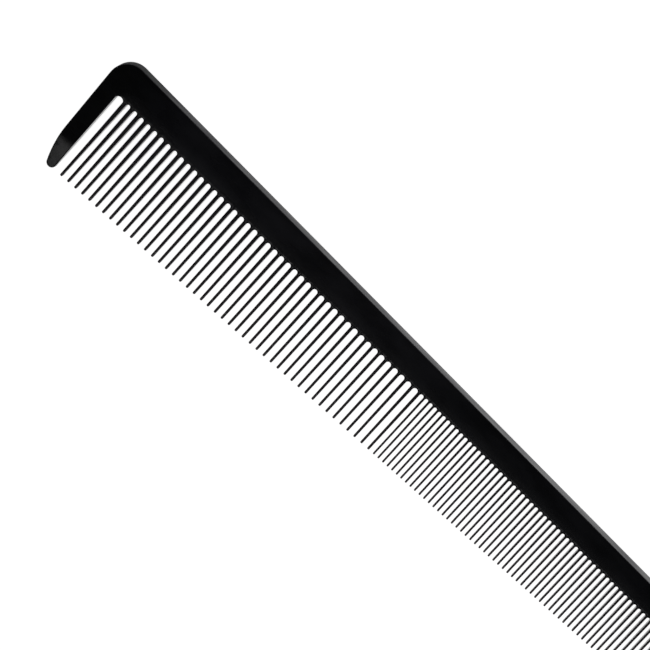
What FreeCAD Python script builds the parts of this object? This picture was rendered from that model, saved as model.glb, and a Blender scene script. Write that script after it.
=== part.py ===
import FreeCAD, Part
import math
import os

# A rat tail comb: a black moulded head with a coarse and a fine row of teeth, on a steel tail pin.
#
# The comb lies flat. X runs along the back edge from the front of the head to the point of the tail,
# +Y is the side of the back edge, the teeth point to -Y, and Z is the thickness, with the underside at 0.
# The shapes are drawn with X from the front face and Y from the back edge, and then moved so that the
# origin is the centre of the whole comb's box, on its underside.
#
# The head is one moulding. It is stored as a spine, two guard teeth and two rows of teeth, which meet
# face to face along the roots of the teeth. All sizes are in millimetres.

# Head
THICKNESS = 4.0
EDGE_ROUND = 0.2
CORNER_RADIUS = 3.65
NECK_START_X = 139.0

# Teeth: an axis is placed by the X where it would meet the back edge. A pair of values is for the first
# and the last tooth of a row, and changes evenly between them.
COARSE_COUNT = 45
COARSE_PITCHES = (1.55, 1.55)
FINE_COUNT = 57
FINE_PITCHES = (1.010, 1.049)
FIRST_AXIS_X = 5.08
ROW_CHANGE_GAP = 1.22
TOOTH_LEAN = math.radians(2.89)

# Depths below the back edge, at the first and at the last tooth
GULLET_DEPTH_FRONT = 5.78
GULLET_DEPTH_HEEL = 4.18
TIP_DEPTH_FRONT = 22.60
TIP_DEPTH_HEEL = 14.38

# Tooth widths along X and thicknesses along Z. The coarse root width changes faster near the front.
COARSE_ROOT_WIDTHS = (0.78, 0.57)
COARSE_TIP_WIDTHS = (0.51, 0.45)
ROOT_WIDTH_FADE = 2.2
FINE_ROOT_WIDTHS = (0.41, 0.41)
FINE_TIP_WIDTHS = (0.36, 0.36)
TOOTH_ROOT_THICKNESS = 3.7
TOOTH_TIP_THICKNESS = 1.5

# Front guard tooth: straight sides, the outer one bending into a round tip. The gap beside it is wider
# than the others and ends in a flatter arc.
FRONT_ROOT_Y = -6.3
FIRST_GAP_DEPTH = 5.8
FRONT_OUTER_LEAN = math.radians(5.0)
FRONT_INNER_LEAN = math.radians(3.5)
FRONT_INNER_ROOT_X = 3.55
FRONT_BEND_Y = -15.6
FRONT_TIP_RADIUS = 0.92
FRONT_TIP_DEPTH = 22.9

# Heel guard tooth
HEEL_GAP = 0.95
HEEL_WIDTH_Y = -6.2
HEEL_ROOT_WIDTH = 2.9
HEEL_TIP_WIDTH = 1.9
HEEL_TIP_DEPTH = 14.6
HEEL_FILLET = 2.0

# Both guard teeth keep the full thickness, and thin down only near the tip
GUARD_THINNING_LENGTH = 5.6
GUARD_TIP_THICKNESS = 1.8

# How far a side view that trims a tooth reaches past its sides
TRIM_MARGIN = 1.0

# Neck, ferrule and tail pin, all on one axis
NECK_BLEND_LENGTH = 7.5
NECK_CORNER_ROUND = 1.9
NOSE_RADIUS = 1.65
FERRULE_LENGTH = 5.0
FERRULE_LIP = 0.4
FERRULE_EDGE = 0.15
PIN_RADIUS = 1.2
PIN_GRIP_RADIUS = 1.0
PIN_GRIP_START_X = 128.0
PIN_SHOULDER_GAP = 1.0
PIN_CYLINDER_LENGTH = 57.0
PIN_TAPER_LENGTH = 38.8
PIN_POINT_RADIUS = 0.7
PIN_GROOVE_WIDTH = 1.2
PIN_GROOVE_DEPTH = 0.25
PIN_GROOVE_STARTS = (4.0, 9.0)
PIN_END_CHAMFER = 0.2

# Worked out from the sizes above
MIDDLE_Z = THICKNESS / 2
AXIS_Y = -THICKNESS / 2
CORNER_END_Y = -CORNER_RADIUS * (1 + math.sin(FRONT_OUTER_LEAN))
LAST_COARSE_X = FIRST_AXIS_X + (COARSE_COUNT - 1) * sum(COARSE_PITCHES) / 2
FIRST_FINE_X = LAST_COARSE_X + ROW_CHANGE_GAP
LAST_FINE_X = FIRST_FINE_X + (FINE_COUNT - 1) * sum(FINE_PITCHES) / 2
FERRULE_START_X = NECK_START_X + NECK_BLEND_LENGTH
FERRULE_END_X = FERRULE_START_X + FERRULE_LENGTH
SHOULDER_X = FERRULE_END_X + PIN_SHOULDER_GAP
TOTAL_LENGTH = SHOULDER_X + PIN_CYLINDER_LENGTH + PIN_TAPER_LENGTH + PIN_POINT_RADIUS
NECK_Y = -THICKNESS
TOTAL_DEPTH = FRONT_TIP_DEPTH
TO_ORIGIN = FreeCAD.Vector(-TOTAL_LENGTH / 2, TOTAL_DEPTH / 2, 0)
ALONG_X = FreeCAD.Vector(1, 0, 0)


def blend(front, heel, axis_x):
    """A value that changes evenly from the first tooth to the last."""
    share = (axis_x - FIRST_AXIS_X) / (LAST_FINE_X - FIRST_AXIS_X)
    return front + (heel - front) * share


def gullet_y(axis_x):
    return -blend(GULLET_DEPTH_FRONT, GULLET_DEPTH_HEEL, axis_x)


def tip_y(axis_x):
    return -blend(TIP_DEPTH_FRONT, TIP_DEPTH_HEEL, axis_x)


def leaned_x(axis_x, y):
    """X of a leaning tooth's axis at the height y."""
    return axis_x - y * math.tan(TOOTH_LEAN)


def teeth_of_row(count, first_x, pitches, root_widths, tip_widths):
    """Each tooth of a row as its axis X, root Y, root width, tip Y and tip width.

    Pitches and widths are given at the first and at the last tooth of the row.
    """
    teeth = []
    axis_x = first_x
    pitch_growth = (pitches[1] - pitches[0]) / (count - 1)
    for index in range(count):
        left = 1 - index / (count - 1)
        pitch = pitches[0] + index * pitch_growth
        root_width = root_widths[1] + (root_widths[0] - root_widths[1]) * left ** ROOT_WIDTH_FADE
        tip_width = tip_widths[1] + (tip_widths[0] - tip_widths[1]) * left
        root_y = gullet_y(axis_x) - (pitch - root_width) / 2
        teeth.append((axis_x, root_y, root_width, tip_y(axis_x), tip_width))
        axis_x += pitch + pitch_growth / 2
    return teeth


def point(place):
    return FreeCAD.Vector(place[0], place[1], 0)


def line(start, end):
    return Part.LineSegment(point(start), point(end)).toShape()


def arc(start, via, end):
    return Part.Arc(point(start), point(via), point(end)).toShape()


def plate(edges):
    """A flat plate of the head's thickness from an outline seen from above."""
    return Part.Face(Part.Wire(edges)).extrude(FreeCAD.Vector(0, 0, THICKNESS))


def side_profile(points_yz, x_low, x_high):
    """A bar along X whose section, given as (y, z) points, is the same all along."""
    corners = [FreeCAD.Vector(x_low, y, z) for y, z in points_yz]
    return Part.Face(Part.makePolygon(corners + corners[:1])).extrude(FreeCAD.Vector(x_high - x_low, 0, 0))


def tooth_solid(tooth):
    """One tooth: a narrow leaning wedge with a round tip, thinner at the tip than at the root."""
    axis_x, root_y, root_width, end_y, tip_width = tooth
    tip_radius = tip_width / 2
    shoulder_y = end_y + tip_radius
    root_x = leaned_x(axis_x, root_y)
    shoulder_x = leaned_x(axis_x, shoulder_y)
    root_left = (root_x - root_width / 2, root_y)
    root_right = (root_x + root_width / 2, root_y)
    tip_left = (shoulder_x - tip_radius, shoulder_y)
    tip_right = (shoulder_x + tip_radius, shoulder_y)
    tip_end = (leaned_x(axis_x, end_y), end_y)
    seen_from_above = plate([
        line(root_left, root_right),
        line(root_right, tip_right),
        arc(tip_right, tip_end, tip_left),
        line(tip_left, root_left),
    ])
    half_root = TOOTH_ROOT_THICKNESS / 2
    half_tip = TOOTH_TIP_THICKNESS / 2
    seen_from_side = side_profile([
        (root_y, MIDDLE_Z - half_root),
        (shoulder_y, MIDDLE_Z - half_tip),
        (end_y, MIDDLE_Z - half_tip / 2),
        (end_y, MIDDLE_Z + half_tip / 2),
        (shoulder_y, MIDDLE_Z + half_tip),
        (root_y, MIDDLE_Z + half_root),
    ], root_left[0] - TRIM_MARGIN, tip_right[0] + TRIM_MARGIN)
    return seen_from_above.common(seen_from_side)


def root_corners(tooth):
    """Left and right ends of a tooth's root."""
    axis_x, root_y, root_width = tooth[:3]
    root_x = leaned_x(axis_x, root_y)
    return (root_x - root_width / 2, root_y), (root_x + root_width / 2, root_y)


def gullet_arc(right_end, left_end):
    """The half-round end of the gap between two roots, drawn from the heel side to the front side."""
    middle_x = (right_end[0] + left_end[0]) / 2
    radius = (right_end[0] - left_end[0]) / 2
    top_y = (right_end[1] + left_end[1]) / 2 + radius
    return arc(right_end, (middle_x, top_y), left_end)


def first_gap_arc(right_end, left_end):
    """The flatter end of the gap between the front guard tooth and the first tooth."""
    middle_x = (right_end[0] + left_end[0]) / 2
    return arc(right_end, (middle_x, -FIRST_GAP_DEPTH), left_end)


def front_outer(y):
    """Point of the head's front side at the height y, in line with the end of the corner's round."""
    start_x = CORNER_RADIUS * (1 - math.cos(FRONT_OUTER_LEAN))
    return (start_x + (CORNER_END_Y - y) * math.tan(FRONT_OUTER_LEAN), y)


def front_inner(y):
    """Point of the front guard tooth's inner side at the height y."""
    return (FRONT_INNER_ROOT_X - (y - FRONT_ROOT_Y) * math.tan(FRONT_INNER_LEAN), y)


def heel_inner(y):
    """Point of the heel guard tooth's inner side at the height y."""
    last_root_right = FINE_ROOT_WIDTHS[1] / 2 + HEEL_GAP
    return (leaned_x(LAST_FINE_X, y) + last_root_right, y)


def heel_outer(y):
    """Point of the heel guard tooth's outer side at the height y. Its root width is that at HEEL_WIDTH_Y."""
    share = (y - HEEL_WIDTH_Y) / (-HEEL_TIP_DEPTH - HEEL_WIDTH_Y)
    width = HEEL_ROOT_WIDTH + (HEEL_TIP_WIDTH - HEEL_ROOT_WIDTH) * share
    return (heel_inner(y)[0] + width, y)


def round_edges(solid, belongs):
    """Rounds the edges of the two flat faces that belongs() picks by their middle point."""
    picked = []
    for edge in solid.Edges:
        low, high = edge.BoundBox.ZMin, edge.BoundBox.ZMax
        flat = high - low < 1e-6 and (low < 1e-6 or low > THICKNESS - 1e-6)
        if flat and belongs(edge.CenterOfMass):
            picked.append(edge)
    return solid.makeFillet(EDGE_ROUND, picked)


def guard_thinning(root_y, end_y, x_low, x_high):
    """The side view of a guard tooth that lies between two X: full thickness, then thinner to the tip."""
    bend_y = end_y + GUARD_THINNING_LENGTH
    half_tip = GUARD_TIP_THICKNESS / 2
    return side_profile([
        (root_y, 0),
        (bend_y, 0),
        (end_y, MIDDLE_Z - half_tip),
        (end_y, MIDDLE_Z + half_tip),
        (bend_y, THICKNESS),
        (root_y, THICKNESS),
    ], x_low - TRIM_MARGIN, x_high + TRIM_MARGIN)


def front_tip_points(bend):
    """Points of the arc that bends the outer side into the round tip, and of the tip itself."""
    centre_y = FRONT_TIP_RADIUS - FRONT_TIP_DEPTH
    to_inner_side = FRONT_TIP_RADIUS / math.cos(FRONT_INNER_LEAN)
    centre = point((front_inner(centre_y)[0] - to_inner_side, centre_y))
    inward = point((math.cos(FRONT_OUTER_LEAN), math.sin(FRONT_OUTER_LEAN)))
    from_centre = point(bend) - centre
    reach = 2 * (from_centre.dot(inward) + FRONT_TIP_RADIUS)
    bend_radius = (FRONT_TIP_RADIUS ** 2 - from_centre.dot(from_centre)) / reach
    bend_centre = point(bend) + inward * bend_radius
    to_tip = (centre - bend_centre).normalize()
    tip_outer = centre + to_tip * FRONT_TIP_RADIUS
    bend_middle = bend_centre + (to_tip - inward).normalize() * bend_radius
    inner_normal = point((math.cos(FRONT_INNER_LEAN), math.sin(FRONT_INNER_LEAN)))
    tip_inner = centre + inner_normal * FRONT_TIP_RADIUS
    tip_end = centre + point((0, -FRONT_TIP_RADIUS))
    return bend_middle, tip_outer, tip_end, tip_inner


def make_front_guard():
    root_outer = front_outer(FRONT_ROOT_Y)
    root_inner = front_inner(FRONT_ROOT_Y)
    bend = front_outer(FRONT_BEND_Y)
    bend_middle, tip_outer, tip_end, tip_inner = front_tip_points(bend)
    solid = plate([
        line(root_inner, root_outer),
        line(root_outer, bend),
        arc(bend, bend_middle, tip_outer),
        arc(tip_outer, tip_end, tip_inner),
        line(tip_inner, root_inner),
    ])
    solid = round_edges(solid, lambda middle: middle.y < FRONT_ROOT_Y - 0.01)
    return solid.common(guard_thinning(FRONT_ROOT_Y, -FRONT_TIP_DEPTH, 0, tip_inner[0]))


def heel_fillet(split_y):
    """The hollow round between the heel guard tooth's outer side and the neck's underside.

    Its five points run from the guard's side to the neck. The third is where it crosses the root line at
    split_y, and the second and fourth lie halfway along its two stretches.
    """
    lean = math.atan(heel_outer(0)[0] - heel_outer(-1)[0])
    start = heel_outer(NECK_Y - HEEL_FILLET * (1 - math.sin(lean)))
    centre = (start[0] + HEEL_FILLET * math.cos(lean), NECK_Y - HEEL_FILLET)
    split_angle = math.asin((split_y - centre[1]) / HEEL_FILLET)

    def at(angle):
        return (centre[0] - HEEL_FILLET * math.cos(angle), centre[1] + HEEL_FILLET * math.sin(angle))

    below = at((lean + split_angle) / 2)
    above = at((split_angle + math.pi / 2) / 2)
    return at(lean), below, at(split_angle), above, at(math.pi / 2)


def make_heel_guard(root_y):
    tip_radius = HEEL_TIP_WIDTH / 2
    shoulder_y = tip_radius - HEEL_TIP_DEPTH
    tip_inner = heel_inner(shoulder_y)
    tip_outer = heel_outer(shoulder_y)
    tip_end = ((tip_inner[0] + tip_outer[0]) / 2, -HEEL_TIP_DEPTH)
    fillet_start, fillet_below, root_outer = heel_fillet(root_y)[:3]
    root_inner = heel_inner(root_y)
    solid = plate([
        line(root_inner, root_outer),
        arc(root_outer, fillet_below, fillet_start),
        line(fillet_start, tip_outer),
        arc(tip_outer, tip_end, tip_inner),
        line(tip_inner, root_inner),
    ])
    solid = round_edges(solid, lambda middle: middle.x > tip_end[0] and shoulder_y < middle.y < root_y - 0.01)
    return solid.common(guard_thinning(root_y, -HEEL_TIP_DEPTH, root_inner[0], root_outer[0]))


def head_plate(teeth):
    """The spine's flat part: the back edge, the front corner and the round ends of all the gaps."""
    heel_root_y = teeth[-1][1]
    fillet_split, fillet_above, fillet_end = heel_fillet(heel_root_y)[2:]
    back_front_end = (CORNER_RADIUS, 0)
    heel_side = heel_inner(heel_root_y)
    edges = [
        line(back_front_end, (NECK_START_X, 0)),
        line((NECK_START_X, 0), (NECK_START_X, NECK_Y)),
        line((NECK_START_X, NECK_Y), fillet_end),
        arc(fillet_end, fillet_above, fillet_split),
        line(fillet_split, heel_side),
    ]
    for tooth in reversed(teeth):
        left, right = root_corners(tooth)
        edges.append(gullet_arc(heel_side, right))
        edges.append(line(right, left))
        heel_side = left
    front_root = front_inner(FRONT_ROOT_Y)
    corner_via = CORNER_RADIUS * (1 - math.sqrt(0.5))
    edges += [
        first_gap_arc(heel_side, front_root),
        line(front_root, front_outer(FRONT_ROOT_Y)),
        line(front_outer(FRONT_ROOT_Y), front_outer(CORNER_END_Y)),
        arc(front_outer(CORNER_END_Y), (corner_via, -corner_via), back_front_end),
    ]

    def is_outside(middle):
        on_front_side = middle.x < CORNER_RADIUS / 2 and middle.y > FRONT_ROOT_Y + 0.01
        on_neck = middle.x > fillet_split[0] and middle.y > heel_root_y
        return middle.y > -0.01 or on_front_side or on_neck

    return round_edges(plate(edges), is_outside)


def neck_section(x, corner_round):
    """A square section of the neck with round corners, as a wire."""
    half = THICKNESS / 2
    inner = half - corner_round
    on_arc = inner + corner_round * math.sqrt(0.5)
    edges = []
    for turn in range(4):
        angle = turn * math.pi / 2
        cosine, sine = round(math.cos(angle)), round(math.sin(angle))

        def place(y, z):
            return FreeCAD.Vector(x, AXIS_Y + y * cosine - z * sine, MIDDLE_Z + y * sine + z * cosine)

        edges.append(Part.LineSegment(place(half, -inner), place(half, inner)).toShape())
        edges.append(Part.Arc(place(half, inner), place(on_arc, on_arc), place(inner, half)).toShape())
    return Part.Wire(edges)


def turned(profile_xr):
    """A solid of revolution about the tail's axis, from (x, radius) points and arcs between them."""
    edges = []
    for start, via, end in profile_xr:
        points = [FreeCAD.Vector(x, AXIS_Y + radius, MIDDLE_Z) for x, radius in (start, end)]
        if via is None:
            edges.append(Part.LineSegment(points[0], points[1]).toShape())
        else:
            middle = FreeCAD.Vector(via[0], AXIS_Y + via[1], MIDDLE_Z)
            edges.append(Part.Arc(points[0], middle, points[1]).toShape())
    face = Part.Face(Part.Wire(edges))
    return face.revolve(FreeCAD.Vector(0, AXIS_Y, MIDDLE_Z), ALONG_X, 360)


def straight_runs(points):
    """Consecutive straight sides between points, for turned()."""
    return [(start, None, end) for start, end in zip(points, points[1:])]


def make_tail_pin():
    start = PIN_GRIP_START_X
    outline = [
        (start, 0),
        (start, PIN_GRIP_RADIUS - PIN_END_CHAMFER),
        (start + PIN_END_CHAMFER, PIN_GRIP_RADIUS),
    ]
    for groove in PIN_GROOVE_STARTS:
        groove_x = start + groove
        groove_radius = PIN_GRIP_RADIUS - PIN_GROOVE_DEPTH
        outline += [
            (groove_x, PIN_GRIP_RADIUS),
            (groove_x + PIN_GROOVE_DEPTH, groove_radius),
            (groove_x + PIN_GROOVE_WIDTH, groove_radius),
            (groove_x + PIN_GROOVE_WIDTH + PIN_GROOVE_DEPTH, PIN_GRIP_RADIUS),
        ]
    taper_x = SHOULDER_X + PIN_CYLINDER_LENGTH
    point_x = taper_x + PIN_TAPER_LENGTH
    outline += [
        (SHOULDER_X, PIN_GRIP_RADIUS),
        (SHOULDER_X, PIN_RADIUS),
        (taper_x, PIN_RADIUS),
        (point_x, PIN_POINT_RADIUS),
    ]
    on_arc = PIN_POINT_RADIUS * math.sqrt(0.5)
    profile = straight_runs(outline)
    profile.append(((point_x, PIN_POINT_RADIUS), (point_x + on_arc, on_arc), (point_x + PIN_POINT_RADIUS, 0)))
    profile.append(((point_x + PIN_POINT_RADIUS, 0), None, (start, 0)))
    return turned(profile)


def make_ferrule():
    outside = THICKNESS / 2
    return turned(straight_runs([
        (FERRULE_START_X, NOSE_RADIUS),
        (FERRULE_START_X, outside - FERRULE_EDGE),
        (FERRULE_START_X + FERRULE_EDGE, outside),
        (FERRULE_END_X - FERRULE_EDGE, outside),
        (FERRULE_END_X, outside - FERRULE_EDGE),
        (FERRULE_END_X, PIN_GRIP_RADIUS),
        (FERRULE_END_X - FERRULE_LIP, PIN_GRIP_RADIUS),
        (FERRULE_END_X - FERRULE_LIP, NOSE_RADIUS),
        (FERRULE_START_X, NOSE_RADIUS),
    ]))


def make_spine(teeth, tail_pin):
    """Head plate, neck and the nose inside the ferrule, with the tail pin's seat left open."""
    neck = Part.makeLoft([
        neck_section(NECK_START_X, EDGE_ROUND),
        neck_section(FERRULE_START_X, NECK_CORNER_ROUND),
    ], True)
    nose_length = FERRULE_LENGTH - FERRULE_LIP
    nose_start = FreeCAD.Vector(FERRULE_START_X, AXIS_Y, MIDDLE_Z)
    nose = Part.makeCylinder(NOSE_RADIUS, nose_length, nose_start, ALONG_X)
    return head_plate(teeth).fuse([neck, nose]).removeSplitter().cut(tail_pin)


def main():
    coarse = teeth_of_row(COARSE_COUNT, FIRST_AXIS_X, COARSE_PITCHES, COARSE_ROOT_WIDTHS, COARSE_TIP_WIDTHS)
    fine = teeth_of_row(FINE_COUNT, FIRST_FINE_X, FINE_PITCHES, FINE_ROOT_WIDTHS, FINE_TIP_WIDTHS)
    teeth = coarse + fine
    heel_root_y = teeth[-1][1]
    tail_pin = make_tail_pin()
    nodes = {
        "spine": make_spine(teeth, tail_pin),
        "front_guard_tooth": make_front_guard(),
        "coarse_teeth": Part.makeCompound([tooth_solid(tooth) for tooth in coarse]),
        "fine_teeth": Part.makeCompound([tooth_solid(tooth) for tooth in fine]),
        "heel_guard_tooth": make_heel_guard(heel_root_y),
        "neck_ferrule": make_ferrule(),
        "tail_pin": tail_pin,
    }
    os.makedirs("parts", exist_ok=True)
    for name, shape in nodes.items():
        placed = shape.copy()
        placed.translate(TO_ORIGIN)
        placed.exportStep(f"parts/{name}.step")
        print(f"{name}: {len(placed.Solids)} solids, {placed.Volume:.1f} mm3, valid {placed.isValid()}")


main()
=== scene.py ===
import math
import random

import bmesh
import bpy
from mathutils import Matrix, Vector, geometry


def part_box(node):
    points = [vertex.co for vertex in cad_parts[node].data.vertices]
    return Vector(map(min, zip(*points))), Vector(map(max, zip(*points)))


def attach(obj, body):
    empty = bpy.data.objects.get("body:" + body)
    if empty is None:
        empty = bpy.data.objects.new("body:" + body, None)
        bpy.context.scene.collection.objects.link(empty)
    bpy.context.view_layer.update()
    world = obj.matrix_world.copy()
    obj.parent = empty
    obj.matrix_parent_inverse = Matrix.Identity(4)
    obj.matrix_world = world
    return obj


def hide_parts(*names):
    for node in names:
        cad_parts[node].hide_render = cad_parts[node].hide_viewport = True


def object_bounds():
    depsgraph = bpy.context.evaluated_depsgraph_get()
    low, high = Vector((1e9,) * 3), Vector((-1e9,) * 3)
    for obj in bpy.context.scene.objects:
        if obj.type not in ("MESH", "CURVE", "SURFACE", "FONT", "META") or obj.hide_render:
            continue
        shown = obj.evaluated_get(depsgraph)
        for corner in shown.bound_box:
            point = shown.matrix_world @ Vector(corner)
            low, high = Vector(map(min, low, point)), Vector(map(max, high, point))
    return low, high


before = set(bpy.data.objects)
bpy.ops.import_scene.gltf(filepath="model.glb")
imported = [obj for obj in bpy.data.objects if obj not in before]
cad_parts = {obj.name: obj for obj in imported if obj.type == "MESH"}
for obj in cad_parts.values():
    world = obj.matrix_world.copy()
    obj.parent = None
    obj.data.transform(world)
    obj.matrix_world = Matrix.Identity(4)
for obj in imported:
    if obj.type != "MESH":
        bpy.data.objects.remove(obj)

# A rat tail comb lying on a pale floor. The head is drawn in millimetres, with X from its front face,
# Y from its back edge (the teeth point to -Y) and Z from the middle of its thickness. The frame says
# where that is, and everything is made in metres in the frame's own axes.

CAD_LOW, CAD_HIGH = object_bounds()
MM = 0.001

# Head, as in the CAD model
HALF_THICKNESS = 2.0
EDGE_ROUND = 0.2
CORNER_RADIUS = 3.65
NECK_START_X = 139.0
NECK_Y = -4.0
COARSE_COUNT = 45
COARSE_PITCH = 1.55
FINE_COUNT = 57
FINE_PITCHES = (1.010, 1.049)
FIRST_AXIS_X = 5.08
ROW_CHANGE_GAP = 1.22
TOOTH_LEAN = math.radians(2.89)
GULLET_DEPTHS = (5.78, 4.18)
TIP_DEPTHS = (22.60, 14.38)
COARSE_ROOT_WIDTHS = (0.78, 0.57)
COARSE_TIP_WIDTHS = (0.51, 0.45)
ROOT_WIDTH_FADE = 2.2
FINE_ROOT_WIDTH = 0.41
FINE_TIP_WIDTH = 0.36
ROOT_HALF_THICKNESS = 1.85
TIP_HALF_THICKNESS = 0.75

# Guard teeth, as in the CAD model
FRONT_ROOT_Y = -6.3
FIRST_GAP_DEPTH = 5.8
FRONT_OUTER_LEAN = math.radians(5.0)
FRONT_INNER_LEAN = math.radians(3.5)
FRONT_INNER_ROOT_X = 3.55
FRONT_BEND_Y = -15.6
FRONT_TIP_RADIUS = 0.92
FRONT_TIP_DEPTH = 22.9
HEEL_GAP = 0.95
HEEL_WIDTH_Y = -6.2
HEEL_ROOT_WIDTH = 2.9
HEEL_TIP_WIDTH = 1.9
HEEL_TIP_DEPTH = 14.6
HEEL_FILLET = 2.0
GUARD_THINNING_LENGTH = 5.6
GUARD_TIP_HALF_THICKNESS = 0.9

# Where the spine's faces slope down to the roots of the teeth, and how the slope fades beside the guards
ROOT_SLOPE_ABOVE_GULLET = 2.1
ROOT_SLOPE_BELOW_GULLET = 0.45
ROOT_SLOPE_FROM_FRONT = 1.6
ROOT_SLOPE_FROM_HEEL = 1.2

# Neck, from the end of the flat head to the nose inside the ferrule
NECK_END_RADIUS = 1.93
NOSE_RADIUS = 1.6
NOSE_DEPTH = 0.7

# Finish of the moulding
TOOTH_TAPER_EASE = 1.5
TOOTH_END_SHARE = 0.55
INSET_SHARE = 0.09
TOOTH_EDGE_DEPTH = 0.06
WALL_DRAFT = 0.008
PARTING_HALF_WIDTH = 0.05
PARTING_HEIGHT = 0.004
LEAN_SCATTER = 0.022
# Share of the painted light on the teeth, which makes them paler, at their roots; it is full at their tips
ROOT_TOOTH_LIGHT = 0.5

# Steps along the outline, over its edges and along the neck
EDGE_STEPS = 3
BACK_STEP = 2.5
GUARD_STEP = 0.8
TOOTH_ROWS = 9
TOOTH_TIP_STEPS = 6
GULLET_STEPS = 12
CORNER_STEPS = 14
GUARD_TIP_STEPS = 10
FILLET_STEPS = 8
NECK_FACE_STEPS = 6
NECK_RINGS = 12

# Limits for the mesh: closer places count as one, and flat enough pairs of triangles become one quad
SAME_PLACE = 1e-9
SAME_POINT = 1e-6
QUAD_ANGLE = 0.1
QUAD_SHAPE = 0.6

random.seed(7)


# ---------------------------------------------------------------- frame places

spine_low, spine_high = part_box("spine")
ferrule_low, ferrule_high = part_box("neck_ferrule")
FRONT_X = spine_low.x
BACK_Y = spine_high.y
MIDDLE_Z = (spine_low.z + spine_high.z) / 2
AXIS_Y = BACK_Y - HALF_THICKNESS * MM
FERRULE_START_X = (ferrule_low.x - FRONT_X) / MM
FERRULE_END_X = (ferrule_high.x - FRONT_X) / MM


def to_frame(x, y, z):
    """A point of the head's drawing, in millimetres, as a point of the frame, in metres."""
    return Vector((FRONT_X + x * MM, BACK_Y + y * MM, MIDDLE_Z + z * MM))


# ---------------------------------------------------------------- the head's outline

class Station:
    """A point of the outline: its place, how far the edge round reaches inwards, and what it is part of.

    Its kind is spine, front, heel, tooth, or one of the sides inside the gaps, which are polished:
    gullet, front_inner, heel_inner. Painted light makes each tooth paler, more from its root to its tip.
    """

    def __init__(self, x, y, inset, kind="spine", tooth=None):
        self.x = x
        self.y = y
        self.inset = inset
        self.kind = kind
        self.tooth = tooth
        self.polish = 1.0 if kind in ("tooth", "gullet", "front_inner", "heel_inner") else 0.0
        # Painted light on a tooth, which makes it paler: part of it at the root, all of it at the tip
        self.painted_tooth_light = mix(ROOT_TOOTH_LIGHT, 1.0, tooth.share(y)) if tooth else 0.0


def smooth(t):
    """An eased step from 0 to 1, level at both ends."""
    t = min(1.0, max(0.0, t))
    return t * t * (3 - 2 * t)


def mix(a, b, t):
    """A value between a and b: a where t is 0, b where it is 1."""
    return a + (b - a) * t


def fine_axis_x(index):
    """The fine row's pitch grows evenly from its front to its heel."""
    start = FIRST_AXIS_X + (COARSE_COUNT - 1) * COARSE_PITCH + ROW_CHANGE_GAP
    growth = (FINE_PITCHES[1] - FINE_PITCHES[0]) / (FINE_COUNT - 1) / 2
    return start + index * FINE_PITCHES[0] + growth * index ** 2


last_fine_x = fine_axis_x(FINE_COUNT - 1)


def along_head(values, axis_x):
    """A value that changes evenly from the first tooth to the last."""
    return mix(values[0], values[1], (axis_x - FIRST_AXIS_X) / (last_fine_x - FIRST_AXIS_X))


def gullet_y(axis_x):
    """Y of the row's gullets at a place along the head."""
    return -along_head(GULLET_DEPTHS, axis_x)


class Tooth:
    """One tooth of a row: its axis, its depth and its width from root to tip."""

    def __init__(self, axis_x, pitch, root_width, tip_width):
        self.axis_x = axis_x
        self.root_width = root_width
        self.tip_width = tip_width
        self.root_y = gullet_y(axis_x) - (pitch - root_width) / 2
        self.tip_y = -along_head(TIP_DEPTHS, axis_x)
        self.shoulder_y = self.tip_y + tip_width / 2
        self.stray = random.uniform(-LEAN_SCATTER, LEAN_SCATTER)

    def share(self, y):
        """How far along the tooth y is: 0 at the root, 1 where the round tip starts."""
        return (self.root_y - y) / (self.root_y - self.shoulder_y)

    def x(self, y):
        """X of the leaning axis, which strays a little towards the tip."""
        return self.axis_x - y * math.tan(TOOTH_LEAN) + self.stray * max(0.0, self.share(y)) ** 2

    def width(self, y):
        """The sides taper faster near the root than near the tip."""
        t = self.share(y)
        return mix(self.root_width, self.tip_width, 1 - (1 - t) ** TOOTH_TAPER_EASE)

    def half_thickness(self, y):
        """Evenly thinner from root to tip, and rounded off round the tip."""
        t = self.share(y)
        if t <= 1:
            return mix(ROOT_HALF_THICKNESS, TIP_HALF_THICKNESS, t)
        over = min(1.0, (self.shoulder_y - y) / (self.shoulder_y - self.tip_y))
        return TIP_HALF_THICKNESS * mix(TOOTH_END_SHARE, 1.0, math.sqrt(1 - over * over))


def make_teeth():
    """The coarse row and the fine row. The coarse teeth get narrower towards the heel."""
    teeth = []
    for i in range(COARSE_COUNT):
        left = 1 - i / (COARSE_COUNT - 1)
        root = mix(COARSE_ROOT_WIDTHS[1], COARSE_ROOT_WIDTHS[0], left ** ROOT_WIDTH_FADE)
        tip = mix(COARSE_TIP_WIDTHS[1], COARSE_TIP_WIDTHS[0], left)
        teeth.append(Tooth(FIRST_AXIS_X + i * COARSE_PITCH, COARSE_PITCH, root, tip))
    for i in range(FINE_COUNT):
        pitch = mix(FINE_PITCHES[0], FINE_PITCHES[1], i / (FINE_COUNT - 1))
        teeth.append(Tooth(fine_axis_x(i), pitch, FINE_ROOT_WIDTH, FINE_TIP_WIDTH))
    return teeth


teeth = make_teeth()

# Where the front corner's round ends
CORNER_END_X = CORNER_RADIUS * (1 - math.cos(FRONT_OUTER_LEAN))
CORNER_END_Y = -CORNER_RADIUS * (1 + math.sin(FRONT_OUTER_LEAN))


def front_outer_x(y):
    """X of the front side below the corner's round."""
    return CORNER_END_X + (CORNER_END_Y - y) * math.tan(FRONT_OUTER_LEAN)


def front_inner_x(y):
    """X of the front guard tooth's inner side."""
    return FRONT_INNER_ROOT_X - (y - FRONT_ROOT_Y) * math.tan(FRONT_INNER_LEAN)


def heel_inner_x(y):
    """X of the heel guard tooth's inner side, which runs along the last fine tooth."""
    return last_fine_x - y * math.tan(TOOTH_LEAN) + FINE_ROOT_WIDTH / 2 + HEEL_GAP


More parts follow.
